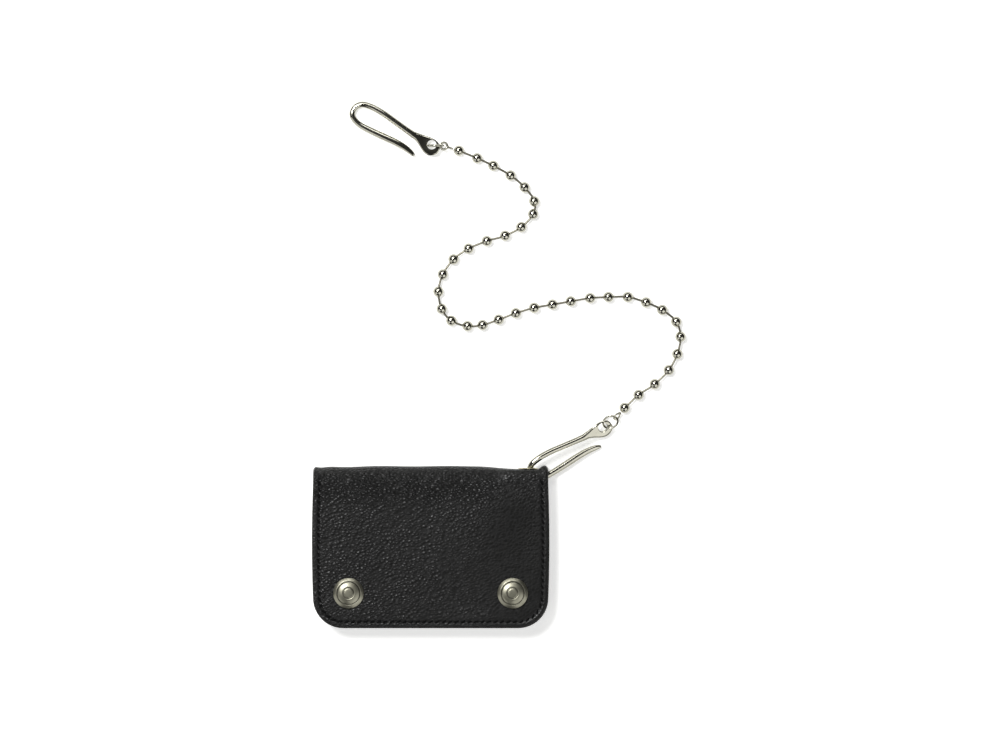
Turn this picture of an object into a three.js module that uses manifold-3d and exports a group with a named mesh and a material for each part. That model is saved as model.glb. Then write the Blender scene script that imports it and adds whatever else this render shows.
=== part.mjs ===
// Chain wallet: a two-fold leather wallet held shut by two snaps, with a ball chain that is clipped to an eyelet
// in the wallet's fold and ends in a second hook for a belt loop.
// Millimetres. +Z up, z = 0 is the surface it lies on, the fold is on the +Y side, and x = 0 is mid width.
import * as THREE from 'three';
import Module from 'manifold-3d';
import { LoftGeometry } from 'three/addons/geometries/LoftGeometry.js';
import { mergeVertices } from 'three/addons/utils/BufferGeometryUtils.js';

const wasm = await Module();
wasm.setup();

// Wallet, closed
const wallet = {
  halfWidth: 55,
  sideBow: 0.5, // how far the long sides swell at mid height
  bottomY: -37.5,
  creaseY: 28.5, // where the flat halves end and the fold begins
  foldY: 37.5,
  cornerRadius: 14,
  thickness: 14,
  leather: 1.4,
  creaseGap: 0.3,
};

// Fold section: a superellipse, rounder along the fold, and flatter and drawn in where the eyelet is pressed in
const fold = {
  roundPower: 2.3,
  flatPower: 5,
  flatReach: 6,
  flatFade: 14,
  dip: 1.4,
  dipReach: 5,
  dipFade: 9.5,
  sides: 12,
};

const eyelet = { x: 45.2, z: 6.85, holeRadius: 3.1, barrelRadius: 3.4, flangeRadius: 4.7, washerRadius: 3.95, sides: 28 };

const snap = { x: 38, y: -21.2, capRadius: 7.1, postRadius: 1.7, panelHole: 2.1, sides: 24 };

// Zipped coin pocket on the inside of the cover
const zip = { y: 17.5, slotHalfLength: 42, slotHalfHeight: 3, sliderX: -36, tapeInner: 2.6, tapeOuter: 6 };

// Hook: stations along the wire from the eye, round the bend, to the tip.
// Each is [distance from the outer end of the bend, sideways (+ is the shank's side), half width, half thickness]
const hookWire = [
  [37.6, -0.2, 2.7, 0.85],
  [34.6, 0.2, 2.0, 1.15],
  [31.5, 0.8, 1.6, 1.45],
  [27.0, 1.9, 1.5, 1.5],
  [21.5, 3.3, 1.5, 1.5],
  [14.0, 5.1, 1.5, 1.5],
  [8.0, 5.7, 1.5, 1.5],
  [4.2, 5.1, 1.5, 1.5],
  [2.0, 3.0, 1.5, 1.5],
  [1.5, 0.2, 1.5, 1.5],
  [2.3, -1.7, 1.5, 1.5],
  [4.3, -3.1, 1.5, 1.5],
  [7.1, -4.1, 1.55, 1.5],
  [11.0, -4.6, 1.6, 1.5],
  [18.0, -5.1, 1.65, 1.5],
  [25.0, -5.5, 1.6, 1.4],
  [30.0, -6.2, 1.45, 1.2],
  [33.7, -7.3, 1.15, 0.95],
  [35.4, -8.1, 0.7, 0.6],
];
const hookEye = { x: 41.2, y: -0.4, radius: 4.6, holeRadius: 2.4, halfThickness: 0.9 };

// Where each hook lies: the outer end of its bend, its heading, nose-down pitch and roll about its length, in degrees
const nearHookPlace = { at: [45.9, 31.8, 5.35], heading: 35.8, pitch: 0.9, roll: 25 };
const farHookPlace = { at: [-37.9, 202.3, 1.65], heading: -21.5, pitch: -2.4, roll: 0 };

const ring = { radius: 3.5, wire: 0.5 };
const nearRingPlace = { at: [83.4, 57.9, 3.75], heading: 40, pitch: 14.6, roll: -36 };
const farRingPlace = { at: [2.35, 186.3, 4.05], heading: 0, pitch: 0, roll: 90 };

const loop = { radius: 1.6, wire: 0.4, neckRadius: 0.45 };
const nearLoopPlace = { at: [86.35, 60.4, 2.8], heading: 48.3, pitch: 3, roll: 54, neckEnd: 2.6 };
const farLoopPlace = { at: [6.05, 186.1, 4.7], heading: -17, pitch: 17, roll: 0, neckEnd: 4.5 };

// Ball chain: one point for each ball's centre, from the far hook's end to the near hook's end, all on the surface
const ballDiameter = 5;
const ballRoute = [
  [13, 184], [21.5, 180.5], [29, 177], [37, 172.5], [43.5, 167], [48, 160.5], [47.5, 154.5], [42, 148.5],
  [34.5, 144.5], [26, 142], [17.5, 138.5], [10.5, 133.5], [5.5, 126.5], [3.5, 118.5], [5, 110.5], [9.5, 105],
  [17, 102.5], [24, 103], [31.5, 105.5], [39.5, 108.5], [48, 111], [56.5, 112.5], [65, 114], [74, 115.5],
  [82.5, 116], [91.5, 116], [100, 113.5], [107.5, 110], [114, 104.5], [116, 97.5], [114.5, 89.5], [110.5, 82],
  [104, 75.5], [96.5, 70.5], [90, 64.5],
];

const materials = {
  outerLeather: { color: 0x262624, roughness: 0.55, metalness: 0 },
  innerLeather: { color: 0x2b2a28, roughness: 0.65, metalness: 0 },
  lining: { color: 0x1e1d1c, roughness: 0.85, metalness: 0 },
  thread: { color: 0x141414, roughness: 0.7, metalness: 0 },
  tape: { color: 0x191919, roughness: 0.9, metalness: 0 },
  snapMetal: { color: 0x96947f, roughness: 0.4, metalness: 1 },
  polishedMetal: { color: 0xb4b3a4, roughness: 0.18, metalness: 1 },
  zipMetal: { color: 0x9a9888, roughness: 0.35, metalness: 1 },
};

const radians = THREE.MathUtils.degToRad;
const model = new THREE.Group();

function addPart(name, geometry, materialName, place) {
  const mesh = new THREE.Mesh(geometry, new THREE.MeshStandardMaterial(materials[materialName]));
  mesh.name = name;
  if (place) {
    mesh.position.set(...place.at);
    mesh.rotation.set(radians(place.roll), radians(place.pitch), radians(place.heading), 'ZYX');
  }
  model.add(mesh);
}

// ---- solids ----

function toSolid(geometry) {
  const bare = new THREE.BufferGeometry().copy(geometry);
  bare.deleteAttribute('normal');
  bare.deleteAttribute('uv');
  const merged = mergeVertices(bare, 1e-4);
  const mesh = new wasm.Mesh({
    numProp: 3,
    vertProperties: Float32Array.from(merged.attributes.position.array),
    triVerts: Uint32Array.from(merged.index.array),
  });
  return new wasm.Manifold(mesh);
}

function toGeometry(solid) {
  const mesh = solid.getMesh();
  const geometry = new THREE.BufferGeometry();
  geometry.setAttribute('position', new THREE.BufferAttribute(mesh.vertProperties, 3));
  geometry.setIndex(new THREE.BufferAttribute(mesh.triVerts, 1));
  geometry.computeVertexNormals();
  return geometry;
}

function join(first, ...others) {
  return toGeometry(others.reduce((sum, other) => sum.add(toSolid(other)), toSolid(first)));
}

function cut(first, ...tools) {
  return toGeometry(tools.reduce((rest, tool) => rest.subtract(toSolid(tool)), toSolid(first)));
}

// A flat shape thickened from height low to height high
function slab(shape, low, high) {
  const geometry = new THREE.ExtrudeGeometry(shape, { depth: high - low, bevelEnabled: false, curveSegments: 8 });
  return geometry.translate(0, 0, low);
}

function block(x, y, z) {
  const geometry = new THREE.BoxGeometry(x[1] - x[0], y[1] - y[0], z[1] - z[0]);
  return geometry.translate((x[0] + x[1]) / 2, (y[0] + y[1]) / 2, (z[0] + z[1]) / 2);
}

// A turned piece: profile is [radius, height] pairs, and its axis stands along +Z at (x, y)
function turned(profile, x, y, sides = snap.sides) {
  const points = profile.map(([radius, height]) => new THREE.Vector2(radius, height));
  return new THREE.LatheGeometry(points, sides).rotateX(Math.PI / 2).translate(x, y, 0);
}

// ---- the wallet's outline ----

// The sewn edge, from the left crease down, along the bottom and up to the right crease
function sewnEdge(inset, topY) {
  const side = wallet.halfWidth - wallet.sideBow - inset;
  const bottom = wallet.bottomY + inset;
  const radius = wallet.cornerRadius - inset;
  const midY = (topY + bottom + radius) / 2;
  const path = new THREE.Path();
  path.moveTo(-side, topY);
  path.quadraticCurveTo(-side - 2 * wallet.sideBow, midY, -side, bottom + radius);
  path.absarc(-side + radius, bottom + radius, radius, Math.PI, 1.5 * Math.PI);
  path.absarc(side - radius, bottom + radius, radius, 1.5 * Math.PI, 2 * Math.PI);
  path.quadraticCurveTo(side + 2 * wallet.sideBow, midY, side, topY);
  return path.getPoints(6);
}

function panelShape(inset, topY) {
  return new THREE.Shape(sewnEdge(inset, topY));
}

// A strip along the sewn edge, open at the top
function edgeStrip(inset, width, topY) {
  return new THREE.Shape([...sewnEdge(inset, topY), ...sewnEdge(inset + width, topY).reverse()]);
}

function roundHole(x, y, radius) {
  return new THREE.Path().absarc(x, y, radius, 0, 2 * Math.PI);
}

function withSnapHoles(shape) {
  for (const side of [-1, 1]) shape.holes.push(roundHole(side * snap.x, snap.y, snap.panelHole));
  return shape;
}

function rectangle(x0, x1, y0, y1) {
  return new THREE.Shape().moveTo(x0, y0).lineTo(x1, y0).lineTo(x1, y1).lineTo(x0, y1).closePath();
}

// ---- back half ----

const backPanelTop = wallet.creaseY - wallet.creaseGap;
addPart('back_cover', slab(panelShape(0, backPanelTop), 0, wallet.leather), 'outerLeather');

// The row of stitches lies on the outside of each half; on the back it is pulled into the leather, so it is not
// lower than the leather's face
addPart('back_seam_thread', slab(edgeStrip(2.8, 0.7, backPanelTop - 1), wallet.leather + 0.05, 1.6), 'thread');

function foldSection(x) {
  const distance = Math.abs(x - eyelet.x);
  const flatness = 1 - THREE.MathUtils.smoothstep(distance, fold.flatReach, fold.flatFade);
  const power = THREE.MathUtils.lerp(fold.roundPower, fold.flatPower, flatness);
  const drawnIn = 1 - THREE.MathUtils.smoothstep(distance, fold.dipReach, fold.dipFade);
  const depth = wallet.foldY - wallet.creaseY - fold.dip * drawnIn;
  const half = wallet.thickness / 2;
  const arc = (inset) => Array.from({ length: fold.sides + 1 }, (_, i) => {
    const angle = Math.PI * (i / fold.sides - 0.5);
    const y = (depth - inset) * Math.abs(Math.cos(angle)) ** (2 / power);
    const z = (half - inset) * Math.sign(Math.sin(angle)) * Math.abs(Math.sin(angle)) ** (2 / power);
    return new THREE.Vector3(x, wallet.creaseY + y, half + z);
  });
  return [...arc(0), ...arc(wallet.leather).reverse()];
}

function spineFold() {
  const end = wallet.halfWidth - wallet.sideBow;
  const plainEnd = eyelet.x - fold.flatFade - 1;
  const stations = [-end, plainEnd / 2 - end / 2];
  for (let x = plainEnd; x < end - 1; x += 1.8) stations.push(x);
  const sections = [...stations, end].map(foldSection);
  const leather = new LoftGeometry(sections, { capStart: true, capEnd: true });
  const hole = new THREE.CylinderGeometry(eyelet.barrelRadius + 0.2, eyelet.barrelRadius + 0.2, 6, eyelet.sides);
  return cut(leather, hole.translate(eyelet.x, wallet.foldY, eyelet.z));
}
addPart('spine_fold', spineFold(), 'outerLeather');

// Eyelet: the flange is outside the fold, and its barrel runs in through the leather to the washer
function eyeletRing(profile) {
  const points = profile.map(([radius, y]) => new THREE.Vector2(radius, y));
  return new THREE.LatheGeometry(points, eyelet.sides).translate(eyelet.x, 0, eyelet.z);
}

const flangeY = wallet.foldY - fold.dip + 0.1;
const barrelY = flangeY - 1.9;
const mouthRadius = eyelet.holeRadius + 0.5;
addPart('eyelet', eyeletRing([
  [eyelet.holeRadius, barrelY], [eyelet.barrelRadius, barrelY], [eyelet.barrelRadius, flangeY],
  [eyelet.flangeRadius, flangeY], [eyelet.flangeRadius - 0.2, flangeY + 0.3], [mouthRadius + 0.4, flangeY + 0.5],
  [mouthRadius, flangeY + 0.4], [eyelet.holeRadius, flangeY - 0.2], [eyelet.holeRadius, barrelY],
]), 'polishedMetal');
const washerY = [flangeY - 2.2, flangeY - 1.8];
const washerInner = eyelet.barrelRadius + 0.15;
addPart('eyelet_washer', eyeletRing([
  [washerInner, washerY[0]], [eyelet.washerRadius, washerY[0]], [eyelet.washerRadius, washerY[1]],
  [washerInner, washerY[1]], [washerInner, washerY[0]],
]), 'polishedMetal');

// Pockets: each panel is sewn round three sides and open towards the fold, and turned-in edges hold the two
// deeper pockets apart
const turnedInWidth = 3;
addPart('bill_pocket_edge', slab(edgeStrip(0.8, turnedInWidth, 26), 1.7, 2.4), 'innerLeather');
addPart('bill_pocket_panel', slab(panelShape(0.8, 26), 2.5, 3.3), 'innerLeather');
addPart('card_slot_rear', slab(panelShape(1, 22), 3.4, 4.4), 'innerLeather');
addPart('card_slot_middle', slab(panelShape(1, 14), 4.5, 5.5), 'innerLeather');
addPart('card_slot_edge', slab(edgeStrip(1, turnedInWidth, 6), 5.6, 6.1), 'innerLeather');
addPart('card_slot_front', slab(withSnapHoles(panelShape(1, 6)), 6.2, 7.3), 'innerLeather');

// ---- snaps ----

for (const [name, x] of [['left', -snap.x], ['right', snap.x]]) {
  addPart(`${name}_stud_rivet`, turned([
    [0, 5.65], [3, 5.65], [3, 6], [1.2, 6.1], [1.2, 7.3], [0, 7.3],
  ], x, snap.y), 'snapMetal');
  addPart(`${name}_snap_stud`, turned([
    [0, 7.4], [4.2, 7.4], [4.2, 7.7], [1.9, 7.9], [1.9, 8.6], [2.1, 9.1], [1.9, 9.7], [1.2, 10], [0, 10.05],
  ], x, snap.y), 'snapMetal');
  addPart(`${name}_snap_socket`, turned([
    [2.9, 8.2], [4.6, 8.2], [4.8, 8.6], [4.8, 11], [5.8, 11.2], [5.8, 11.8],
    [snap.panelHole, 11.8], [snap.panelHole, 10.6], [2.9, 10.6], [2.9, 8.2],
  ], x, snap.y), 'snapMetal');
  addPart(`${name}_snap_cap`, turned([
    [0, 10.9], [snap.postRadius, 10.9], [snap.postRadius, 14.1], [snap.capRadius - 0.4, 14.1],
    [snap.capRadius, 14.5], [6.8, 15.1], [5.8, 15.7], [4.2, 16.15], [2.2, 16.4], [0, 16.5],
  ], x, snap.y), 'snapMetal');
}

// ---- cover ----

addPart('front_cover', slab(withSnapHoles(panelShape(0, backPanelTop)), wallet.thickness - wallet.leather,
  wallet.thickness), 'outerLeather');
addPart('cover_seam_thread', slab(edgeStrip(2.8, 0.7, backPanelTop - 1), wallet.thickness + 0.05,
  wallet.thickness + 0.3), 'thread');
addPart('front_lining', slab(withSnapHoles(panelShape(0.8, 27.5)), 11.9, 12.5), 'lining');

// Coin pocket: a frame keeps its leather off the lining, and the zip fills a slot near its top
const coin = { x: 51, low: -11, high: 26.5, frame: 2.4 };
function coinPocketFrame() {
  const shape = rectangle(-coin.x, coin.x, coin.low, coin.high);
  const inner = rectangle(-coin.x + coin.frame, coin.x - coin.frame, coin.low + coin.frame, coin.high - coin.frame);
  shape.holes.push(inner);
  return slab(shape, 11.2, 11.8);
}
function coinPocketFront() {
  const shape = rectangle(-coin.x, coin.x, coin.low, coin.high);
  const { slotHalfLength: long, slotHalfHeight: high, y } = zip;
  const slot = new THREE.Path();
  slot.moveTo(-long + high, y - high).lineTo(long - high, y - high);
  slot.absarc(long - high, y, high, -Math.PI / 2, Math.PI / 2);
  slot.absarc(-long + high, y, high, Math.PI / 2, 1.5 * Math.PI);
  shape.holes.push(slot);
  return slab(shape, 10.2, 11.1);
}
addPart('coin_pocket_frame', coinPocketFrame(), 'innerLeather');
addPart('coin_pocket_front', coinPocketFront(), 'innerLeather');

for (const [name, side] of [['upper', 1], ['lower', -1]]) {
  const band = (inner, outer) => [zip.y + side * inner, zip.y + side * outer].sort((a, b) => a - b);
  addPart(`${name}_zip_tape`, block([-46, 46], band(zip.tapeInner, zip.tapeOuter), [11.2, 11.6]), 'tape');
  addPart(`${name}_zip_teeth`, block([-40.6, 40.6], band(0.5, 2.3), [10.3, 11]), 'zipMetal');
}
for (const [name, side] of [['left', -1], ['right', 1]]) {
  const ends = [side * 40.8, side * 41.7].sort((a, b) => a - b);
  addPart(`${name}_zip_stop`, block(ends, [zip.y - 0.9, zip.y + 0.9], [10.2, 11.1]), 'zipMetal');
}

// Slider: a plate on each side of the teeth, joined by a neck between the rows, with a bridge for its pull
function zipSlider() {
  const x = (low, high) => [zip.sliderX + low, zip.sliderX + high];
  const y = (half) => [zip.y - half, zip.y + half];
  return join(
    block(x(-4, 4), y(3.4), [9.1, 10]),
    block(x(-1.5, 1.5), y(0.3), [9.9, 11.3]),
    block(x(-3.8, 3.8), y(2.3), [11.2, 11.7]),
    block(x(-2.4, -1.6), y(0.9), [8, 9.2]),
    block(x(1.6, 2.4), y(0.9), [8, 9.2]),
    block(x(-2.4, 2.4), y(0.9), [8, 8.45]),
  );
}
function zipPull() {
  const shape = rectangle(-0.8, 13, -2.2, 2.2);
  shape.holes.push(rectangle(0.4, 3.6, -1.3, 1.3));
  return slab(shape, 8.55, 9).translate(zip.sliderX, zip.y, 0);
}
addPart('zip_slider', zipSlider(), 'zipMetal');
addPart('zip_pull', zipPull(), 'zipMetal');

// ---- hooks, rings and chain ----

function hookShape() {
  const route = new THREE.CatmullRomCurve3(hookWire.map(([x, y]) => new THREE.Vector3(x, y, 0)));
  const girth = new THREE.CatmullRomCurve3(hookWire.map(([, , width, height]) => new THREE.Vector3(width, height, 0)));
  const count = 2 * (hookWire.length - 1);
  const sides = 10;
  const sections = Array.from({ length: count + 1 }, (_, i) => {
    const centre = route.getPoint(i / count);
    const along = route.getTangent(i / count);
    const size = girth.getPoint(i / count);
    return Array.from({ length: sides }, (_, j) => {
      const angle = 2 * Math.PI * j / sides;
      const across = size.x * Math.cos(angle);
      return new THREE.Vector3(centre.x - along.y * across, centre.y + along.x * across, size.y * Math.sin(angle));
    });
  });
  const wire = new LoftGeometry(sections, { capStart: true, capEnd: true });
  const upright = (radius, height) => new THREE.CylinderGeometry(radius, radius, height, 28)
    .rotateX(Math.PI / 2).translate(hookEye.x, hookEye.y, 0);
  return cut(join(wire, upright(hookEye.radius, 2 * hookEye.halfThickness)), upright(hookEye.holeRadius, 6));
}
addPart('near_hook', hookShape(), 'polishedMetal', nearHookPlace);
addPart('far_hook', hookShape(), 'polishedMetal', farHookPlace);

const ringShape = () => new THREE.TorusGeometry(ring.radius, ring.wire, 8, 28);
addPart('near_ring', ringShape(), 'polishedMetal', nearRingPlace);
addPart('far_ring', ringShape(), 'polishedMetal', farRingPlace);

function endLoop(place) {
  const neckStart = loop.radius;
  const neck = new THREE.CylinderGeometry(loop.neckRadius, loop.neckRadius, place.neckEnd - neckStart, 8);
  neck.rotateZ(Math.PI / 2).translate((place.neckEnd + neckStart) / 2, 0, 0);
  return join(new THREE.TorusGeometry(loop.radius, loop.wire, 8, 24), neck);
}
addPart('near_end_loop', endLoop(nearLoopPlace), 'polishedMetal', nearLoopPlace);
addPart('far_end_loop', endLoop(farLoopPlace), 'polishedMetal', farLoopPlace);

function ballChain() {
  const radius = ballDiameter / 2;
  const centres = ballRoute.map(([x, y]) => new THREE.Vector3(x, y, radius));
  const beyond = (ball, neighbour) => ball.clone().add(ball.clone().sub(neighbour).setLength(radius));
  const first = beyond(centres[0], centres[1]);
  const last = beyond(centres.at(-1), centres.at(-2));
  const route = new THREE.CatmullRomCurve3([first, ...centres, last]);
  const section = new THREE.Shape().absarc(0, 0, radius, 0, 2 * Math.PI);
  return new THREE.ExtrudeGeometry(section, { extrudePath: route, steps: 40, curveSegments: 5, bevelEnabled: false });
}
addPart('ball_chain', ballChain(), 'polishedMetal');

export default model;
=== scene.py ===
import math

import bmesh
import bpy
import numpy as np
from mathutils import Matrix, Vector


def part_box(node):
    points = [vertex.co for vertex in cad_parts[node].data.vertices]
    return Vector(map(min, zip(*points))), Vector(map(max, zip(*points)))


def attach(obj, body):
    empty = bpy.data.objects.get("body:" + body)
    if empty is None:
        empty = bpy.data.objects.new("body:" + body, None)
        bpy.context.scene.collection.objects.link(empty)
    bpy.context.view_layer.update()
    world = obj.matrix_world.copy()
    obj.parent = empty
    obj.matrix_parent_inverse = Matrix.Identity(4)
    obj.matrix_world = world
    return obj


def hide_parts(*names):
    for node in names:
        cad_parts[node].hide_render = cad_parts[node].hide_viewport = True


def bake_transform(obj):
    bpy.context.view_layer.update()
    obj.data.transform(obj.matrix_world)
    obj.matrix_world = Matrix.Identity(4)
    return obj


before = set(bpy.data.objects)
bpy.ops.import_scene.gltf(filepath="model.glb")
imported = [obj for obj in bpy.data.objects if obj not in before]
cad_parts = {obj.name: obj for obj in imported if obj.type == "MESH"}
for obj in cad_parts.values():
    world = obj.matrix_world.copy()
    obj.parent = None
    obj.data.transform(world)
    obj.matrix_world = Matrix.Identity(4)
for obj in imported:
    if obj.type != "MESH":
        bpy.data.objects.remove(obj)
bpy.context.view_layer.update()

# Chain wallet: a two-fold cowhide wallet held shut by two snaps, and a ball chain with a hook at
# each end, one of them through an eyelet in the wallet's fold. Shapes are in millimetres until a
# mesh is made of them, and lamps and camera are in metres.
mm = 0.001
sameSpot = 2e-7  # points closer than this many metres are one point
scene = bpy.context.scene


def boxOf(node):
    low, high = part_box(node)
    return np.array(low) / mm, np.array(high) / mm


def centreOf(node):
    low, high = boxOf(node)
    return (low + high) / 2


def smoothStep(value, start, end):
    t = np.clip((value - start) / (end - start), 0, 1)
    return t * t * (3 - 2 * t)


def circleAngles(count):
    return np.arange(count) * 2 * math.pi / count


def band(near, far, count):
    # the faces between two loops of count points, which start at points near and far
    return [[near + j, near + (j + 1) % count, far + (j + 1) % count, far + j]
            for j in range(count)]


def placeMesh(name, mesh, material):
    mesh.materials.append(material)
    placedMesh = bpy.data.objects.new(name, mesh)
    scene.collection.objects.link(placedMesh)
    return placedMesh


def writeValues(mesh, name, numbers):
    # one number for each point, which a material reads by its name
    values = mesh.attributes.new(name, "FLOAT", "POINT")
    values.data.foreach_set("value", np.asarray(numbers, np.float32))


def makePiece(name, points, faces, material, sharpAngle=None, tarnish=None):
    mesh = bpy.data.meshes.new(name)
    mesh.from_pydata((np.asarray(points, float) * mm).tolist(), [], faces)
    if tarnish:
        writeValues(mesh, "tarnish", tarnish)
    shape = bmesh.new()
    shape.from_mesh(mesh)
    bmesh.ops.remove_doubles(shape, verts=shape.verts, dist=sameSpot)
    bmesh.ops.recalc_face_normals(shape, faces=shape.faces)
    shape.to_mesh(mesh)
    shape.free()
    mesh.polygons.foreach_set("use_smooth", [True] * len(mesh.polygons))
    if sharpAngle:
        mesh.set_sharp_from_angle(angle=math.radians(sharpAngle))
    return placeMesh(name, mesh, material)


def settle(piece, body, slotName, *nodes):
    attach(piece, body)
    if nodes:
        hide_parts(*nodes)
    return piece


def soften(piece, width, segments=2):
    # breaks every edge sharper than 30 degrees, as tumbling does
    weld = piece.modifiers.new("weld", "WELD")
    weld.merge_threshold = 5 * sameSpot
    bevel = piece.modifiers.new("softEdge", "BEVEL")
    bevel.width = width * mm
    bevel.segments = segments
    bevel.limit_method = "ANGLE"
    bevel.angle_limit = math.radians(30)


def cutAway(piece, tool):
    cut = piece.modifiers.new("cut", "BOOLEAN")
    cut.object = tool
    cut.solver = "EXACT"
    bpy.context.view_layer.update()
    graph = bpy.context.evaluated_depsgraph_get()
    result = bpy.data.meshes.new_from_object(piece.evaluated_get(graph))
    piece.modifiers.clear()
    piece.data = result
    bpy.data.objects.remove(tool)
    return piece


def joinShapes(shapes):
    points = []
    faces = []
    for shapePoints, shapeFaces in shapes:
        base = len(points)
        points.extend(shapePoints)
        faces.extend([[base + i for i in face] for face in shapeFaces])
    return points, faces


def placed(points, place):
    # turned by the place's roll, pitch and heading in degrees, and then moved to it
    turn = Matrix.Rotation(math.radians(place["heading"]), 3, "Z")
    turn = turn @ Matrix.Rotation(math.radians(place["pitch"]), 3, "Y")
    turn = turn @ Matrix.Rotation(math.radians(place["roll"]), 3, "X")
    return np.asarray(points, float) @ np.array(turn).T + np.array(place["at"], float)


def smoothRoute(stations, perSpan):
    # a curve through the stations, their first two columns being the place and the rest sizes
    points = np.asarray(stations, float)
    points = np.vstack([2 * points[0] - points[1], points, 2 * points[-1] - points[-2]])
    result = []
    for i in range(1, len(points) - 2):
        p0, p1, p2, p3 = points[i - 1:i + 3]
        d0, d1, d2 = (math.sqrt(np.linalg.norm((b - a)[:2]))
                      for a, b in ((p0, p1), (p1, p2), (p2, p3)))
        startSlope = ((p1 - p0) / d0 - (p2 - p0) / (d0 + d1) + (p2 - p1) / d1) * d1
        endSlope = ((p2 - p1) / d1 - (p3 - p1) / (d1 + d2) + (p3 - p2) / d2) * d1
        for t in np.arange(perSpan) / perSpan:
            result.append(p1 + startSlope * t + (3 * (p2 - p1) - 2 * startSlope - endSlope) * t ** 2
                          + (2 * (p1 - p2) + startSlope + endSlope) * t ** 3)
    result.append(points[-2])
    return np.array(result)


def sweptWire(stations, sides=20, closed=False, upright=0):
    # stations are x, y, half width, half thickness and squareness (2 is round), on a flat route;
    # the first few, as many as upright says, are cut straight across it
    stations = np.asarray(stations, float)
    route = stations[:, :2]
    along = np.roll(route, -1, 0) - np.roll(route, 1, 0) if closed else np.gradient(route, axis=0)
    along /= np.linalg.norm(along, axis=1)[:, None]
    along[:upright] = (-1, 0)
    points = []
    for (x, y, width, height, square), (ax, ay) in zip(stations, along):
        for angle in circleAngles(sides):
            c, s = math.cos(angle), math.sin(angle)
            across = width * math.copysign(abs(c) ** (2 / square), c)
            up = height * math.copysign(abs(s) ** (2 / square), s)
            points.append((x - ay * across, y + ax * across, up))
    count = len(stations)
    faces = []
    for i in range(count if closed else count - 1):
        faces += band(i * sides, (i + 1) % count * sides, sides)
    if not closed:
        faces += [list(range(sides)), [(count - 1) * sides + j for j in range(sides)]]
    return points, faces


def turned(profile, segments=64, closed=False):
    # profile is radius and height pairs about +Z
    points = [(r * math.cos(a), r * math.sin(a), h) for r, h in profile
              for a in circleAngles(segments)]
    count = len(profile)
    faces = []
    for i in range(count if closed else count - 1):
        faces += band(i * segments, (i + 1) % count * segments, segments)
    return points, faces


def outlineLoop(outline, inset, across, along, arc=6):
    # a rounded outline drawn in by inset, from the middle of its low left corner along the low
    # edge and round; each corner has its side, centre height, radius and middle angle
    halfWidth, low, high, lowRadius, highRadius = outline
    corners = [(-1, low + lowRadius, lowRadius, 225), (1, low + lowRadius, lowRadius, 315),
               (1, high - highRadius, highRadius, 45), (-1, high - highRadius, highRadius, 135)]

    def arcPoints(corner, first, last):
        side, y, radius, middle = corner
        angles = np.radians(middle + np.linspace(first, last, arc + 1))
        centre = np.array([side * (halfWidth - radius), y])
        return centre + (radius - inset) * np.stack([np.cos(angles), np.sin(angles)], 1)

    points = []
    for i, count in enumerate((across, along, across, along)):
        first = arcPoints(corners[i], 0, 45)
        last = arcPoints(corners[(i + 1) % 4], -45, 0)
        straight = np.linspace(first[-1], last[0], count - 2 * arc + 1)
        points += [first[:-1], straight[:-1], last[:-1]]
    return np.concatenate(points)


def sheetLayout(outline, profile, across, along):
    # one closed sheet of hide or cloth laid flat: loops round the edge and a grid inside, on both
    # faces. profile is inset and depth share pairs, from the middle of the edge inwards
    loops = [outlineLoop(outline, inset, across, along) for inset, _ in profile]
    around = 2 * (across + along)
    inner = loops[-1]
    low = inner[:across + 1]
    right = inner[across:across + along + 1]
    high = inner[across + along:2 * across + along + 1][::-1]
    left = np.vstack([inner[2 * across + along:], inner[:1]])[::-1]
    u = np.linspace(0, 1, across + 1)[None, :, None]
    v = np.linspace(0, 1, along + 1)[:, None, None]
    grid = ((1 - v) * low[None] + v * high[None] + (1 - u) * left[:, None] + u * right[:, None]
            - (1 - u) * (1 - v) * low[0] - u * (1 - v) * low[-1]
            - (1 - u) * v * high[0] - u * v * high[-1])
    middle = grid[1:-1, 1:-1].reshape(-1, 2)
    plan = [loops[0]]
    inset = [np.full(around, profile[0][0])]
    share = [np.full(around, profile[0][1])]
    faces = []
    for side in (0, 1):
        previous = 0
        for loop, (edge, depth) in zip(loops[1:], profile[1:]):
            start = sum(len(p) for p in plan)
            plan.append(loop)
            inset.append(np.full(around, edge))
            share.append(np.full(around, 1 - depth if side else depth))
            faces += band(previous, start, around)
            previous = start
        start = sum(len(p) for p in plan)
        plan.append(middle)
        inset.append(np.full(len(middle), profile[-1][0] + 1))
        share.append(np.full(len(middle), float(side)))
        ids = np.zeros((along + 1, across + 1), int)
        ids[0] = previous + np.arange(across + 1)
        ids[:, -1] = previous + across + np.arange(along + 1)
        ids[-1] = previous + 2 * across + along - np.arange(across + 1)
        ids[:, 0] = previous + (around - np.arange(along + 1)) % around
        ids[1:-1, 1:-1] = start + np.arange(len(middle)).reshape(along - 1, across - 1)
        faces += [[ids[j, i], ids[j, i + 1], ids[j + 1, i + 1], ids[j + 1, i]]
                  for j in range(along) for i in range(across)]
    faces = [[int(i) for i in face] for face in faces]
    return np.concatenate(plan), np.concatenate(inset), np.concatenate(share), faces


def writeGrainMap(piece, plan, inset):
    # the hide's own flat coordinates, in metres, so that grain follows the leather where it bends
    mesh = piece.data
    flat = mesh.uv_layers.new(name="unrolled")
    corner = np.zeros(len(mesh.loops), np.int32)
    mesh.loops.foreach_get("vertex_index", corner)
    flat.data.foreach_set("uv", (plan[corner] * mm).astype(np.float32).ravel())
    writeValues(mesh, "edgeDistance", inset)


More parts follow.
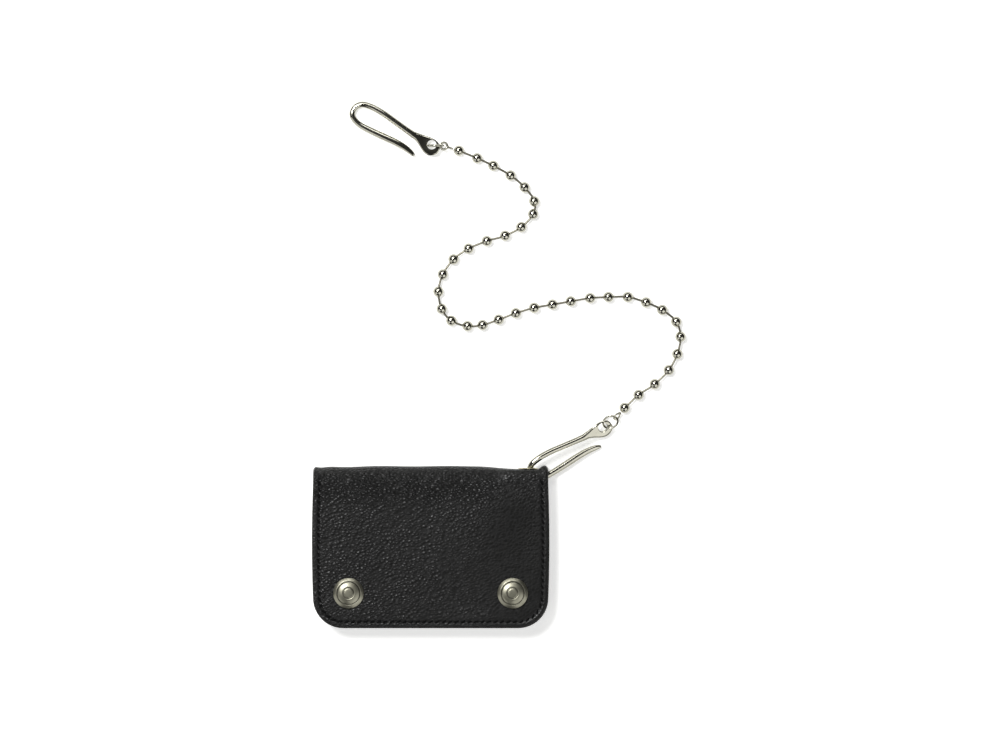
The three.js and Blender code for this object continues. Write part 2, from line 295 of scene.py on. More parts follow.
studio = {
    "pictureWidth": 463.5,  # millimetres across, at the height of the wallet's face
    "pictureCentre": (32.1, 84.4),
    "faceHeight": 0.01,
    "cameraHeight": 3.0,
    "lamps": {  # place, size and power in watts; all look at lampTarget
        "keyLight": ((-0.46, 0.54, 1.38), (0.4, 0.4), 17),
        "backStrip": ((-0.25, 1.1, 1.0), (1.4, 0.3), 7.5),
        "rightPanel": ((0.85, -0.92, 1.2), (1.6, 1.6), 13),
        "leftFill": ((-1.3, -0.9, 0.95), (1.4, 1.4), 8),
    },
    "lampTarget": (0.03, 0.08, 0),
    "worldGlow": 0.045,
    "floorHex": "#f4f4f2",
    "floorGlow": 0.42,
    "floorHalf": 4,
    "floorDrop": 2e-5,  # keeps the floor from flickering through what lies on it
}


def toLinear(hexColour):
    parts = [int(hexColour[i:i + 2], 16) / 255 for i in (1, 3, 5)]
    return tuple(p / 12.92 if p <= 0.04045 else ((p + 0.055) / 1.055) ** 2.4
                 for p in parts) + (1.0,)


def addNode(tree, kind, settings=None, values=None, links=None):
    node = tree.nodes.new(kind)
    for name, value in (settings or {}).items():
        setattr(node, name, value)
    for socket, value in (values or {}).items():
        node.inputs[socket].default_value = value
    for socket, source in (links or {}).items():
        tree.links.new(source, node.inputs[socket])
    return node


def newMaterial(name):
    material = bpy.data.materials.new(name)
    material.use_nodes = True
    tree = material.node_tree
    shader = tree.nodes["Principled BSDF"]
    return material, tree, shader


def linkFinish(tree, shader, colour, bump, rough=None):
    tree.links.new(colour.outputs[2], shader.inputs["Base Color"])
    tree.links.new(bump.outputs["Normal"], shader.inputs["Normal"])
    if rough:
        tree.links.new(rough.outputs["Result"], shader.inputs["Roughness"])


cameraData = bpy.data.cameras.new("camera")
cameraData.sensor_width = 36
cameraData.lens = cameraData.sensor_width * studio["cameraHeight"] / (studio["pictureWidth"] * mm)
camera = bpy.data.objects.new("camera", cameraData)
camera.location = (studio["pictureCentre"][0] * mm, studio["pictureCentre"][1] * mm,
                   studio["cameraHeight"] + studio["faceHeight"])
scene.collection.objects.link(camera)
scene.camera = camera
scene.view_settings.view_transform = "Standard"


for name, (place, size, power) in studio["lamps"].items():
    data = bpy.data.lights.new(name, "AREA")
    data.shape = "RECTANGLE"
    data.size, data.size_y = size
    data.energy = power
    lamp = bpy.data.objects.new(name, data)
    lamp.location = place
    beam = Vector(studio["lampTarget"]) - Vector(place)
    lamp.rotation_euler = beam.to_track_quat("-Z", "Y").to_euler()
    lamp.visible_camera = False
    scene.collection.objects.link(lamp)

world = bpy.data.worlds.new("studio")
world.use_nodes = True
glow = world.node_tree.nodes["Background"]
glow.inputs["Color"].default_value = (1, 1, 1, 1)
glow.inputs["Strength"].default_value = studio["worldGlow"]
scene.world = world

# Opal acrylic sheet with a matt face, lit faintly from below: an even white with soft shadows
floorPaint, tree, shader = newMaterial("mattWhiteAcrylic")
shader.inputs["Base Color"].default_value = toLinear(studio["floorHex"])
shader.inputs["Roughness"].default_value = 0.9
shader.inputs["Emission Color"].default_value = (1, 1, 1, 1)
shader.inputs["Emission Strength"].default_value = studio["floorGlow"]
rollerMarks = addNode(tree, "ShaderNodeTexNoise", values={"Scale": 400.0, "Detail": 3.0})
rollerBump = addNode(tree, "ShaderNodeBump", values={"Strength": 0.05, "Distance": 0.0001},
                     links={"Height": rollerMarks.outputs["Fac"]})
tree.links.new(rollerBump.outputs["Normal"], shader.inputs["Normal"])
floorMesh = bpy.data.meshes.new("studioFloor")
floorMesh.from_pydata([(studio["floorHalf"] * x, studio["floorHalf"] * y, -studio["floorDrop"])
                       for x, y in ((-1, -1), (1, -1), (1, 1), (-1, 1))], [], [[0, 1, 2, 3]])
floor = placeMesh("studioFloor", floorMesh, floorPaint)
print("camera, light and floor are set")


# The wallet's sizes come from the frame, and those the frame doesn't hold are given here
coverLow, coverHigh = boxOf("front_cover")
foldLow, foldHigh = boxOf("spine_fold")
wallet = {
    "halfWidth": foldHigh[0],
    "sideBow": coverHigh[0] - foldHigh[0],
    "bottom": coverLow[1],
    "crease": foldLow[1],
    "foldDepth": foldHigh[1] - foldLow[1],
    "thickness": foldHigh[2],
    "leather": 1.4,
    "corner": 14.0,
    "foldArc": 27.0,  # along the hide's outer face, round the fold
    "seamInset": 3.0,
    "splitY": 29.6,  # where the front half parts from the fold
    "bendEnd": 26.3,  # a height on the front half, a little below splitY
}
eyeletAt = centreOf("eyelet")
flatLength = wallet["crease"] - wallet["bottom"]
shellLength = 2 * flatLength + wallet["foldArc"]
shellOutline = (wallet["halfWidth"], 0, shellLength, wallet["corner"], wallet["corner"])
shellAcross, shellAlong = 76, 124  # faces


def sideBulge(y):
    # from 0 to 1: the wallet's sides bow out most a little above its middle
    return np.clip(1 - ((y - 2.5) / 26) ** 2, 0, 1)


# Full-grain cowhide, drum-dyed black and tumbled: round pebbles about a millimetre across with
# fine creases between them. The tops are burnished and glint, the creases stay matt and are
# painted darker as shade, and the edge is a little lighter, partly from wear and partly as a
# painted highlight where it rounds over
hide = {
    "topHex": "#0f0f0e",
    # painted shade: the creases are darker than the tops
    "creaseShadeHex": "#060606",
    # lighter edge: partly wear, partly a painted highlight where the edge rounds over
    "lighterEdgeHex": "#2f2e2b",
    "pebble": 1.15,
    "pebbleStretch": (0.7, 1, 1),  # the pebbles lie a little wider than they are high
    "pore": 0.35,
    "relief": 0.145,
    "topRoughness": 0.29,
    "creaseRoughness": 0.6,
    "gloss": 0.25,
    "patch": 16,
    "patchRelief": (0.75, 1.15),  # some patches are tight and almost smooth, others loose
    "tightFrom": 14,  # the grain runs out from here towards the right, where the hide is tightest
    "tightTo": 36,
    "tightRelief": 0.4,
    "foldReach": (13, 1),  # the fold stretches the hide, and its pebbles stand out
    "foldRelief": (0.84, 1.95),
}


def pebbledHide():
    material, tree, shader = newMaterial("pebbledCowhide")
    flat = addNode(tree, "ShaderNodeUVMap", {"uv_map": "unrolled"})
    # the rows of pebbles wander by up to 0.8 mm about every 5 mm
    wander = addNode(tree, "ShaderNodeTexNoise", values={"Scale": 1 / (5 * mm), "Detail": 2.0},
                     links={"Vector": flat.outputs["UV"]})
    centred = addNode(tree, "ShaderNodeVectorMath", {"operation": "SUBTRACT"}, {1: (0.5, 0.5, 0.5)},
                      {0: wander.outputs["Color"]})
    scaled = addNode(tree, "ShaderNodeVectorMath", {"operation": "SCALE"}, {"Scale": 1.6 * mm},
                     {0: centred.outputs[0]})
    moved = addNode(tree, "ShaderNodeVectorMath", {"operation": "ADD"},
                    links={0: flat.outputs["UV"], 1: scaled.outputs[0]})
    warped = addNode(tree, "ShaderNodeVectorMath", {"operation": "MULTIPLY"},
                     {1: hide["pebbleStretch"]}, {0: moved.outputs[0]})
    pebbleScale = 1 / (hide["pebble"] * mm)
    cells = addNode(tree, "ShaderNodeTexVoronoi", {"feature": "SMOOTH_F1"},
                    {"Scale": pebbleScale, "Smoothness": 0.35}, {"Vector": warped.outputs[0]})
    creases = addNode(tree, "ShaderNodeTexVoronoi", {"feature": "DISTANCE_TO_EDGE"},
                      {"Scale": pebbleScale}, {"Vector": warped.outputs[0]})
    dome = addNode(tree, "ShaderNodeMapRange", {"interpolation_type": "SMOOTHSTEP"},
                   {"From Min": 0.75, "From Max": 0.05}, {"Value": cells.outputs["Distance"]})
    crease = addNode(tree, "ShaderNodeMapRange", values={"From Min": 0.0, "From Max": 0.13},
                     links={"Value": creases.outputs["Distance"]})
    pores = addNode(tree, "ShaderNodeTexNoise", values={"Scale": 1 / (hide["pore"] * mm),
                    "Detail": 3.0}, links={"Vector": flat.outputs["UV"]})
    body = addNode(tree, "ShaderNodeMath", {"operation": "MULTIPLY_ADD"}, {1: 0.55},
                   {0: crease.outputs["Result"], 2: dome.outputs["Result"]})
    height = addNode(tree, "ShaderNodeMath", {"operation": "MULTIPLY_ADD"}, {1: 0.22},
                     {0: pores.outputs["Fac"], 2: body.outputs[0]})
    # the relief is not even over the hide
    patches = addNode(tree, "ShaderNodeTexNoise", values={"Scale": 1 / (hide["patch"] * mm),
                      "Detail": 2.0}, links={"Vector": flat.outputs["UV"]})
    depth = addNode(tree, "ShaderNodeMapRange", values={
        "From Min": 0.35, "From Max": 0.68, "To Min": hide["patchRelief"][0],
        "To Max": hide["patchRelief"][1]}, links={"Value": patches.outputs["Fac"]})
    parts = addNode(tree, "ShaderNodeSeparateXYZ", links={"Vector": flat.outputs["UV"]})
    tight = addNode(tree, "ShaderNodeMapRange", {"interpolation_type": "SMOOTHSTEP"}, {
        "From Min": hide["tightFrom"] * mm, "From Max": hide["tightTo"] * mm, "To Min": 1.0,
        "To Max": hide["tightRelief"]}, {"Value": parts.outputs["X"]})
    stretched = addNode(tree, "ShaderNodeMapRange", {"interpolation_type": "SMOOTHSTEP"}, {
        "From Min": (flatLength - hide["foldReach"][0]) * mm,
        "From Max": (flatLength - hide["foldReach"][1]) * mm, "To Min": hide["foldRelief"][0],
        "To Max": hide["foldRelief"][1]}, {"Value": parts.outputs["Y"]})
    area = addNode(tree, "ShaderNodeMath", {"operation": "MULTIPLY"},
                   links={0: depth.outputs["Result"], 1: tight.outputs["Result"]})
    spread = addNode(tree, "ShaderNodeMath", {"operation": "MULTIPLY"},
                     links={0: area.outputs[0], 1: stretched.outputs["Result"]})
    lift = addNode(tree, "ShaderNodeMath", {"operation": "MULTIPLY"},
                   links={0: height.outputs[0], 1: spread.outputs[0]})
    bump = addNode(tree, "ShaderNodeBump", {}, {"Strength": 1.0, "Distance": hide["relief"] * mm},
                   {"Height": lift.outputs[0]})
    # painted shade: the creases are darker than the pebble tops
    tone = addNode(tree, "ShaderNodeMix", {"data_type": "RGBA"}, {6: toLinear(hide["creaseShadeHex"]),
                   7: toLinear(hide["topHex"])}, {"Factor": crease.outputs["Result"]})
    # towards its edge the hide is painted lighter, partly as wear and partly as a painted highlight
    edge = addNode(tree, "ShaderNodeAttribute", {"attribute_name": "edgeDistance"})
    nearEdge = addNode(tree, "ShaderNodeMapRange", {},
                   {"From Min": 0.9, "From Max": 0.1, "To Max": 0.35}, {"Value": edge.outputs["Fac"]})
    colour = addNode(tree, "ShaderNodeMix", {"data_type": "RGBA"}, {7: toLinear(hide["lighterEdgeHex"])},
                     {"Factor": nearEdge.outputs["Result"], 6: tone.outputs[2]})
    rough = addNode(tree, "ShaderNodeMapRange", values={"To Min": hide["creaseRoughness"],
                    "To Max": hide["topRoughness"]}, links={"Value": crease.outputs["Result"]})
    linkFinish(tree, shader, colour, bump, rough)
    shader.inputs["Specular IOR Level"].default_value = hide["gloss"]
    return material


# Split cowhide, corrected and pressed smooth: nearly flat, matt, with a fine fibrous nap
split = {"darkHex": "#161614", "lightHex": "#21201e", "lighterEdgeHex": "#3a3834", "fibre": 0.6,
         "grain": 0.8, "relief": 0.06, "roughness": (0.72, 0.5), "gloss": 0.3}


def smoothHide():
    material, tree, shader = newMaterial("smoothSplitLeather")
    flat = addNode(tree, "ShaderNodeUVMap", {"uv_map": "unrolled"})
    fibre = addNode(tree, "ShaderNodeTexNoise", values={"Scale": 1 / (split["fibre"] * mm),
                    "Detail": 5.0, "Roughness": 0.65}, links={"Vector": flat.outputs["UV"]})
    creases = addNode(tree, "ShaderNodeTexVoronoi", {"feature": "DISTANCE_TO_EDGE"},
                      {"Scale": 1 / (split["grain"] * mm)}, {"Vector": flat.outputs["UV"]})
    crease = addNode(tree, "ShaderNodeMapRange", values={"From Max": 0.1},
                     links={"Value": creases.outputs["Distance"]})
    height = addNode(tree, "ShaderNodeMath", {"operation": "MULTIPLY_ADD"}, {1: 0.4},
                     {0: crease.outputs["Result"], 2: fibre.outputs["Fac"]})
    bump = addNode(tree, "ShaderNodeBump", {}, {"Strength": 0.7, "Distance": split["relief"] * mm},
                   {"Height": height.outputs[0]})
    # towards its edges the split is painted lighter
    edge = addNode(tree, "ShaderNodeAttribute", {"attribute_name": "edgeDistance"})
    nearEdge = addNode(tree, "ShaderNodeMapRange", {},
                   {"From Min": 0.7, "From Max": 0.1, "To Max": 0.6}, {"Value": edge.outputs["Fac"]})
    tone = addNode(tree, "ShaderNodeMix", {"data_type": "RGBA"}, {6: toLinear(split["darkHex"]),
                   7: toLinear(split["lightHex"])}, {"Factor": fibre.outputs["Fac"]})
    colour = addNode(tree, "ShaderNodeMix", {"data_type": "RGBA"}, {7: toLinear(split["lighterEdgeHex"])},
                     {"Factor": nearEdge.outputs["Result"], 6: tone.outputs[2]})
    rough = addNode(tree, "ShaderNodeMapRange", values={"To Min": split["roughness"][0],
                    "To Max": split["roughness"][1]}, links={"Value": fibre.outputs["Fac"]})
    linkFinish(tree, shader, colour, bump, rough)
    shader.inputs["Specular IOR Level"].default_value = split["gloss"]
    return material


waveBand = math.pi / 10  # the wave texture's scale for one band in a unit of length


# Plain-woven polyester: crossing yarns, drawn at twice their real 0.35 mm so that they show
def wovenCloth(name, yarn, darkHex, lightHex):
    material, tree, shader = newMaterial(name)
    flat = addNode(tree, "ShaderNodeUVMap", {"uv_map": "unrolled"})
    waves = []
    for direction in ("X", "Y"):
        waves.append(addNode(tree, "ShaderNodeTexWave", {"bands_direction": direction},
                             {"Scale": waveBand / (yarn * mm), "Distortion": 0.4, "Detail": 1.0},
                             {"Vector": flat.outputs["UV"]}))
    weave = addNode(tree, "ShaderNodeMath", {"operation": "MAXIMUM"},
                    links={0: waves[0].outputs["Fac"], 1: waves[1].outputs["Fac"]})
    bump = addNode(tree, "ShaderNodeBump", values={"Strength": 0.8, "Distance": 0.12 * mm},
                   links={"Height": weave.outputs[0]})
    # painted shade: the gaps between the yarns are darker and the yarn tops lighter
    colour = addNode(tree, "ShaderNodeMix", {"data_type": "RGBA"}, {6: toLinear(darkHex),
                     7: toLinear(lightHex)}, {"Factor": weave.outputs[0]})
    linkFinish(tree, shader, colour, bump)
    shader.inputs["Roughness"].default_value = 0.8
    shader.inputs["Sheen Weight"].default_value = 0.25
    return material


# Waxed polyester thread: three plies twisted together, with a dull wax shine
waxed = {"darkHex": "#020202", "lightHex": "#070707", "ply": 0.45, "twist": 35, "relief": 0.08,
         "roughness": 0.75, "gloss": 0.12}


def waxedThread():
    material, tree, shader = newMaterial("waxedThread")
    place = addNode(tree, "ShaderNodeTexCoord")
    turnedPlace = addNode(tree, "ShaderNodeMapping", links={"Vector": place.outputs["Object"]})
    turnedPlace.inputs["Rotation"].default_value = (0, 0, math.radians(waxed["twist"]))
    plies = addNode(tree, "ShaderNodeTexWave", values={"Scale": waveBand / (waxed["ply"] * mm)},
                    links={"Vector": turnedPlace.outputs["Vector"]})
    bump = addNode(tree, "ShaderNodeBump", {}, {"Strength": 0.6, "Distance": waxed["relief"] * mm},
                   {"Height": plies.outputs["Fac"]})
    # painted shade: the grooves between the plies are darker
    colour = addNode(tree, "ShaderNodeMix", {"data_type": "RGBA"}, {6: toLinear(waxed["darkHex"]),
                     7: toLinear(waxed["lightHex"])}, {"Factor": plies.outputs["Fac"]})
    linkFinish(tree, shader, colour, bump)
    shader.inputs["Roughness"].default_value = waxed["roughness"]
    shader.inputs["Specular IOR Level"].default_value = waxed["gloss"]
    return material


metals = {
    # nickel plate buffed on a wheel: a warm mirror that shows the dark round it in hard bands
    "polishedNickelPlate": {"brightHex": "#aeac9f", "darkHex": "#8b897e", "roughness": 0.09,
                            "hairline": 0.001},
    # drawn nickel wire left unbuffed between the balls: grey, with a spread shine
    "dulledNickelWire": {"brightHex": "#7c796c", "darkHex": "#4b493f", "roughness": 0.3,
                         "hairline": 0.003},
    # plate rubbed thin by the hook, so that yellow brass warms it
    "wornNickelOnBrass": {"brightHex": "#c4bea4", "darkHex": "#8f8869", "roughness": 0.22,
                          "hairline": 0.004},
    # nickel silver struck, blackened and wiped: bright on the heights, brown-black in the rings
    "antiquedNickelSilver": {"brightHex": "#918f80", "darkHex": "#2b2a24", "roughness": 0.34,
                             "hairline": 0.012},
    # plated teeth tumbled to a satin: pale, with no clear reflection
    "satinZipNickel": {"brightHex": "#b5b2a4", "darkHex": "#7d7a6c", "roughness": 0.34,
                       "hairline": 0.006},
}


# A metal's colour drifts a little, handling leaves hairlines, and relief may hold tarnish
def metal(name, tarnish=False):
    look = metals[name]
    material, tree, shader = newMaterial(name)
    place = addNode(tree, "ShaderNodeTexCoord")
    stretched = addNode(tree, "ShaderNodeMapping", links={"Vector": place.outputs["Object"]})
    stretched.inputs["Rotation"].default_value = (0.3, 0.5, 0.7)
    stretched.inputs["Scale"].default_value = (1, 1, 8)
    lines = addNode(tree, "ShaderNodeTexNoise", values={"Scale": 1 / (1.2 * mm), "Detail": 4.0},
                    links={"Vector": stretched.outputs["Vector"]})
    cloud = addNode(tree, "ShaderNodeTexNoise", values={"Scale": 1 / (3 * mm), "Detail": 2.0},
                    links={"Vector": place.outputs["Object"]})
    bump = addNode(tree, "ShaderNodeBump", {}, {"Strength": 0.5, "Distance": look["hairline"] * mm},
                   {"Height": lines.outputs["Fac"]})
    share = addNode(tree, "ShaderNodeMapRange", {},
                    {"From Min": 0.3, "From Max": 0.8, "To Max": 0.3}, {"Value": cloud.outputs["Fac"]})
    factor = share.outputs["Result"]
    if tarnish:
        relief = addNode(tree, "ShaderNodeAttribute", {"attribute_name": "tarnish"})
        added = addNode(tree, "ShaderNodeMath", {"operation": "ADD", "use_clamp": True},
                        links={0: factor, 1: relief.outputs["Fac"]})
        factor = added.outputs[0]
    colour = addNode(tree, "ShaderNodeMix", {"data_type": "RGBA"}, {6: toLinear(look["brightHex"]),
                     7: toLinear(look["darkHex"])}, {"Factor": factor})
    rough = addNode(tree, "ShaderNodeMapRange", values={"To Min": look["roughness"] * 0.8,
                    "To Max": look["roughness"] * 1.3}, links={"Value": lines.outputs["Fac"]})
    linkFinish(tree, shader, colour, bump, rough)
    shader.inputs["Metallic"].default_value = 1
    return material


cowhide = pebbledHide()
splitLeather = smoothHide()
liningCloth = wovenCloth("polyesterLining", 0.7, "#0d0d0d", "#262524")
zipCloth = wovenCloth("wovenZipTape", 0.8, "#0b0b0b", "#202020")
thread = waxedThread()
nickel = metal("polishedNickelPlate")
wireNickel = metal("dulledNickelWire")
eyeletNickel = metal("wornNickelOnBrass")
nickelSilver = metal("antiquedNickelSilver", tarnish=True)
zipNickel = metal("satinZipNickel")
print("materials are made")


# The route has each ball's centre, from the near hook's end to the far hook's, lying on the table
chain = {
    "ball": 5.0,
    "pin": 0.5,  # radius
    "pinGrip": 0.7,  # how far a pin reaches into its balls
    "hole": 0.75,  # radius
    "route": [
        (90, 64.5), (96.5, 70.5), (104, 75.5), (110.5, 82), (114.5, 89.5), (116, 97.5),
        (114, 104.5), (107.5, 110), (100, 113.5), (91.5, 116), (82.5, 116), (74, 115.5),
        (65, 114), (56.5, 112.5), (48, 111), (39.5, 108.5), (31.5, 105.5), (24, 103),
        (17, 102.5), (9.5, 105), (5, 110.5), (3.5, 118.5), (5.5, 126.5), (10.5, 133.5),
        (17.5, 138.5), (26, 142), (34.5, 144.5), (42, 148.5), (47.5, 154.5), (48, 160.5),
        (43.5, 167), (37, 172.5), (29, 177), (21.5, 180.5), (13, 184),
    ],
}
ballRadius = chain["ball"] / 2


def alongZ(direction):
    # the turn that takes +Z to a direction
    return np.array(Vector(direction).to_track_quat("Z", "Y").to_matrix())


def ballChain():
    centres = np.array([(x, y, ballRadius) for x, y in chain["route"]], float)
    along = np.gradient(centres, axis=0)
    along /= np.linalg.norm(along, axis=1)[:, None]
    # a hollow ball drawn from sheet: the two pin holes are punched inwards
    hole = chain["hole"]
    lip = math.asin(hole / ballRadius)
    skin = [(ballRadius * math.sin(a), ballRadius * math.cos(a))
            for a in np.linspace(lip, math.pi - lip, 23)]
    end = skin[0][1]
    inside = [(hole - 0.12, -end + 0.06), (hole - 0.18, -end + 0.45),
              (hole - 0.18, end - 0.45), (hole - 0.12, end - 0.06)]
    ballPoints, ballFaces = turned(skin + inside, 32, closed=True)
    ballPoints = np.array(ballPoints)
    balls = []
    pins = []
    for i, (centre, direction) in enumerate(zip(centres, along)):
        balls.append((ballPoints @ alongZ(direction).T + centre, ballFaces))
        if i + 1 < len(centres):
            start = centre + direction * (ballRadius - chain["pinGrip"])
            finish = centres[i + 1] - along[i + 1] * (ballRadius - chain["pinGrip"])
            length = np.linalg.norm(finish - start)
            pin = [(0, 0), (chain["pin"], 0), (chain["pin"], length), (0, length)]
            pinPoints, pinFaces = turned(pin, 12)
            pins.append((np.array(pinPoints) @ alongZ(finish - start).T + start, pinFaces))
    ballPiece = makePiece("chainBalls", *joinShapes(balls), nickel, sharpAngle=40)
    pinPiece = makePiece("chainPins", *joinShapes(pins), wireNickel, sharpAngle=40)
    return ballPiece, pinPiece, centres, along


ballPiece, pinPiece, ballCentres, ballAlong = ballChain()
settle(ballPiece, "chain", "polished_nickel", "ball_chain")
settle(pinPiece, "chain", "polished_nickel")

# Hook: forged from 3 mm wire. The wire runs along the shank, round the bend and back to the tip:
# distance from the bend, sideways, half width, half thickness and squareness. The flat eye has its
# distance and its two edges, and the hole its place and radius
hook = {
    "wire": [
        (31.5, 0.8, 1.6, 1.45, 2), (27, 1.9, 1.5, 1.5, 2), (21.5, 3.3, 1.5, 1.5, 2),
        (14, 5.1, 1.5, 1.5, 2), (8, 5.7, 1.45, 1.45, 2), (4.2, 5.1, 1.42, 1.42, 2),
        (2, 3, 1.4, 1.4, 2), (1.5, 0.2, 1.4, 1.4, 2), (2.3, -1.7, 1.4, 1.4, 2),
        (4.3, -3.1, 1.4, 1.4, 2), (7.1, -4.1, 1.45, 1.42, 2), (11, -4.6, 1.55, 1.45, 2),
        (18, -5.1, 1.65, 1.5, 2), (25, -5.5, 1.6, 1.4, 2.2), (30, -6.2, 1.45, 1.2, 2.4),
        (33.7, -7.3, 1.15, 0.95, 2.4), (35.4, -8.1, 0.7, 0.6, 2), (35.7, -8.25, 0.3, 0.25, 2),
    ],
    "eye": [
        (45.6, -2.1, -1), (45.5, -2.8, -0.3), (45.2, -3.5, 0.35), (44.7, -4.2, 1),
        (44.1, -4.7, 1.45), (43.3, -5.15, 1.9), (42.3, -5.5, 2.25), (41.3, -5.62, 2.45),
        (40.2, -5.5, 2.55), (39, -5.05, 2.55), (37.8, -4.3, 2.5), (36.6, -3.4, 2.46),
        (35.4, -2.5, 2.43), (34.2, -1.7, 2.4), (33, -1.12, 2.4),
    ],
    "hole": (41.4, -0.45, 2.2),
    "countersink": 0.3,
    "plate": 0.9,  # half the eye's thickness
    "neck": 1.35,  # and half the neck's, where the eye runs into the shank
    "near": {"at": (45.9, 31.8, 5.35), "heading": 35.8, "pitch": 0.9, "roll": 25},
    "far": {"at": (-37.9, 202.3, 1.65), "heading": -21.5, "pitch": -2.4, "roll": 0},
}


def hookShape():
    # the eye is hammered flat and drilled nearer one side; the shank runs on from its thick side
    stations = []
    for i, (x, low, high) in enumerate(hook["eye"]):
        neck = float(smoothStep(-x, -38.5, -32))
        thickness = hook["plate"] * min(1, 0.55 + i / 5) * (1 - neck) + hook["neck"] * neck
        stations.append((x, (low + high) / 2, (high - low) / 2, thickness, 3.4 - 1.2 * neck))
    return sweptWire(stations + smoothRoute(hook["wire"], 6).tolist(), 28, upright=len(stations))


def hookPiece(name, place, body, node):
    points, faces = hookShape()
    piece = makePiece(name, placed(points, place), faces, nickel, sharpAngle=50)
    holeX, holeY, hole = hook["hole"]
    plate = hook["plate"]
    wide = hole + hook["countersink"]
    drill = [(0, -4), (wide, -4), (wide, -plate - 0.05), (hole, -plate + 0.25),
             (hole, plate - 0.25), (wide, plate + 0.05), (wide, 4), (0, 4)]
    toolPoints, toolFaces = turned(drill, 48)
    toolPoints = np.array(toolPoints) + (holeX, holeY, 0)
    tool = makePiece("drill", placed(toolPoints, place), toolFaces, nickel)
    cutAway(piece, tool)
    piece.data.set_sharp_from_angle(angle=math.radians(28))
    return settle(piece, body, "polished_nickel", node)


nearHook = hookPiece("nearHookForging", hook["near"], "near_hook", "near_hook")
farHook = hookPiece("farHookForging", hook["far"], "far_hook", "far_hook")

# Jump rings of 1 mm wire, cut once and pressed shut
ring = {
    "radius": 3.5,
    "wire": 0.5,
    "cut": 2.2,  # degrees
    "near": {"at": (83.4, 57.9, 3.75), "heading": 40, "pitch": 14.6, "roll": -36, "cutAt": 70},
    "far": {"at": (2.35, 186.3, 4.05), "heading": 0, "pitch": 0, "roll": 90, "cutAt": 110},
}


def roundWire(radius, wire, angles):
    return [(radius * math.cos(a), radius * math.sin(a), wire, wire, 2) for a in angles]


def ringPiece(name, place, body, node):
    angles = np.radians(place["cutAt"] + np.linspace(ring["cut"] / 2, 360 - ring["cut"] / 2, 73))
    points, faces = sweptWire(roundWire(ring["radius"], ring["wire"], angles), 16)
    piece = makePiece(name, placed(points, place), faces, nickel, sharpAngle=50)
    return settle(piece, body, "polished_nickel", node)


nearRing = ringPiece("nearJumpRing", ring["near"], "near_ring", "near_ring")
farRing = ringPiece("farJumpRing", ring["far"], "far_ring", "far_ring")

# End loops: an eye of wire about 1 mm thick, on a collared pin that goes into the last ball
endLoop = {
    "radius": 1.6,
    "neck": 0.5,
    "near": {"at": (86.35, 60.4, 2.8), "heading": 48.3, "pitch": 3, "roll": 54,
             "end": 2.6, "wire": 0.44},
    "far": {"at": (6.05, 186.1, 4.7), "heading": -17, "pitch": 17, "roll": 0,
            "end": 4.5, "wire": 0.6},
}


def loopPiece(name, place, node):
    radius, neck = endLoop["radius"], endLoop["neck"]
    circle = roundWire(radius, place["wire"], circleAngles(48))
    collar = [(radius - 0.1, 0, neck, neck, 2), (radius + 0.25, 0, neck * 1.7, neck * 1.7, 2),
              (radius + 0.65, 0, neck * 1.6, neck * 1.6, 2), (radius + 0.95, 0, neck, neck, 2),
              (max(place["end"], radius + 1.1), 0, neck, neck, 2)]
    points, faces = joinShapes([sweptWire(circle, 14, closed=True), sweptWire(collar, 14)])
    piece = makePiece(name, placed(points, place), faces, nickel, sharpAngle=50)
    return settle(piece, "chain", "polished_nickel", node)


nearLoop = loopPiece("nearEndLoop", endLoop["near"], "near_end_loop")
farLoop = loopPiece("farEndLoop", endLoop["far"], "far_end_loop")
print("ball chain, rings and hooks are made")


# The fold is rounder along its length, and squarer and drawn in at the eyelet; its ends stand a
# little proud or low, as a hand-closed fold does
fold = {
    "squareness": 2.3,
    "squarerAtEyelet": 2.7,
    "squarerFrom": (6, 14),  # distances from the eyelet over which that fades
    "drawnIn": 1.4,
    "drawnLeft": (5, 24),
    "drawnRight": (3.5, 7.5),
    "lumps": [(-51, 3, -0.6), (-40, 9, -0.3), (52.6, 1.8, 0.4)],  # place, reach and height
    "ripple": 0.1,
    "endRound": 0.5,
}


def foldShape(x):
    distance = np.abs(x - eyeletAt[0])
    nearEyelet = 1 - smoothStep(distance, *fold["squarerFrom"])
    power = fold["squareness"] + fold["squarerAtEyelet"] * nearEyelet
    start, reach = (np.where(x < eyeletAt[0], left, right)
                    for left, right in zip(fold["drawnLeft"], fold["drawnRight"]))
    depth = wallet["foldDepth"] - fold["drawnIn"] * (1 - smoothStep(distance, start, reach))
    for place, width, rise in fold["lumps"]:
        depth = depth + rise * np.exp(-((x - place) / width) ** 2)
    depth = depth + fold["ripple"] * np.sin(x / 5)
    depth = depth - fold["endRound"] * np.clip(np.abs(x) - 53, 0, 2) ** 2
    return power, depth


def sectionPoint(x, s):
    # y and z on the hide's outer face, s being how far along it from the front half's low edge
    half = wallet["thickness"] / 2
    y = np.where(s < flatLength, wallet["bottom"] + s, wallet["bottom"] + shellLength - s)
    z = np.where(s < flatLength, half, -half)
    inFold = (s > flatLength) & (s < flatLength + wallet["foldArc"])
    if inFold.any():
        power, depth = foldShape(x[inFold])
        angles = np.linspace(0, math.pi, 121)[None]
        root = (2 / power)[:, None]
        outward = depth[:, None] * np.sin(angles) ** root
        upward = half * np.sign(np.cos(angles)) * np.abs(np.cos(angles)) ** root
        steps = np.hypot(np.diff(outward), np.diff(upward))
        reach = np.hstack([np.zeros((len(steps), 1)), np.cumsum(steps, 1)])
        wanted = (s[inFold] - flatLength) / wallet["foldArc"] * reach[:, -1]
        y[inFold] = wallet["crease"] + np.array(
            [np.interp(w, r, o) for w, r, o in zip(wanted, reach, outward)])
        z[inFold] = [np.interp(w, r, u) for w, r, u in zip(wanted, reach, upward)]
    return y, z + half


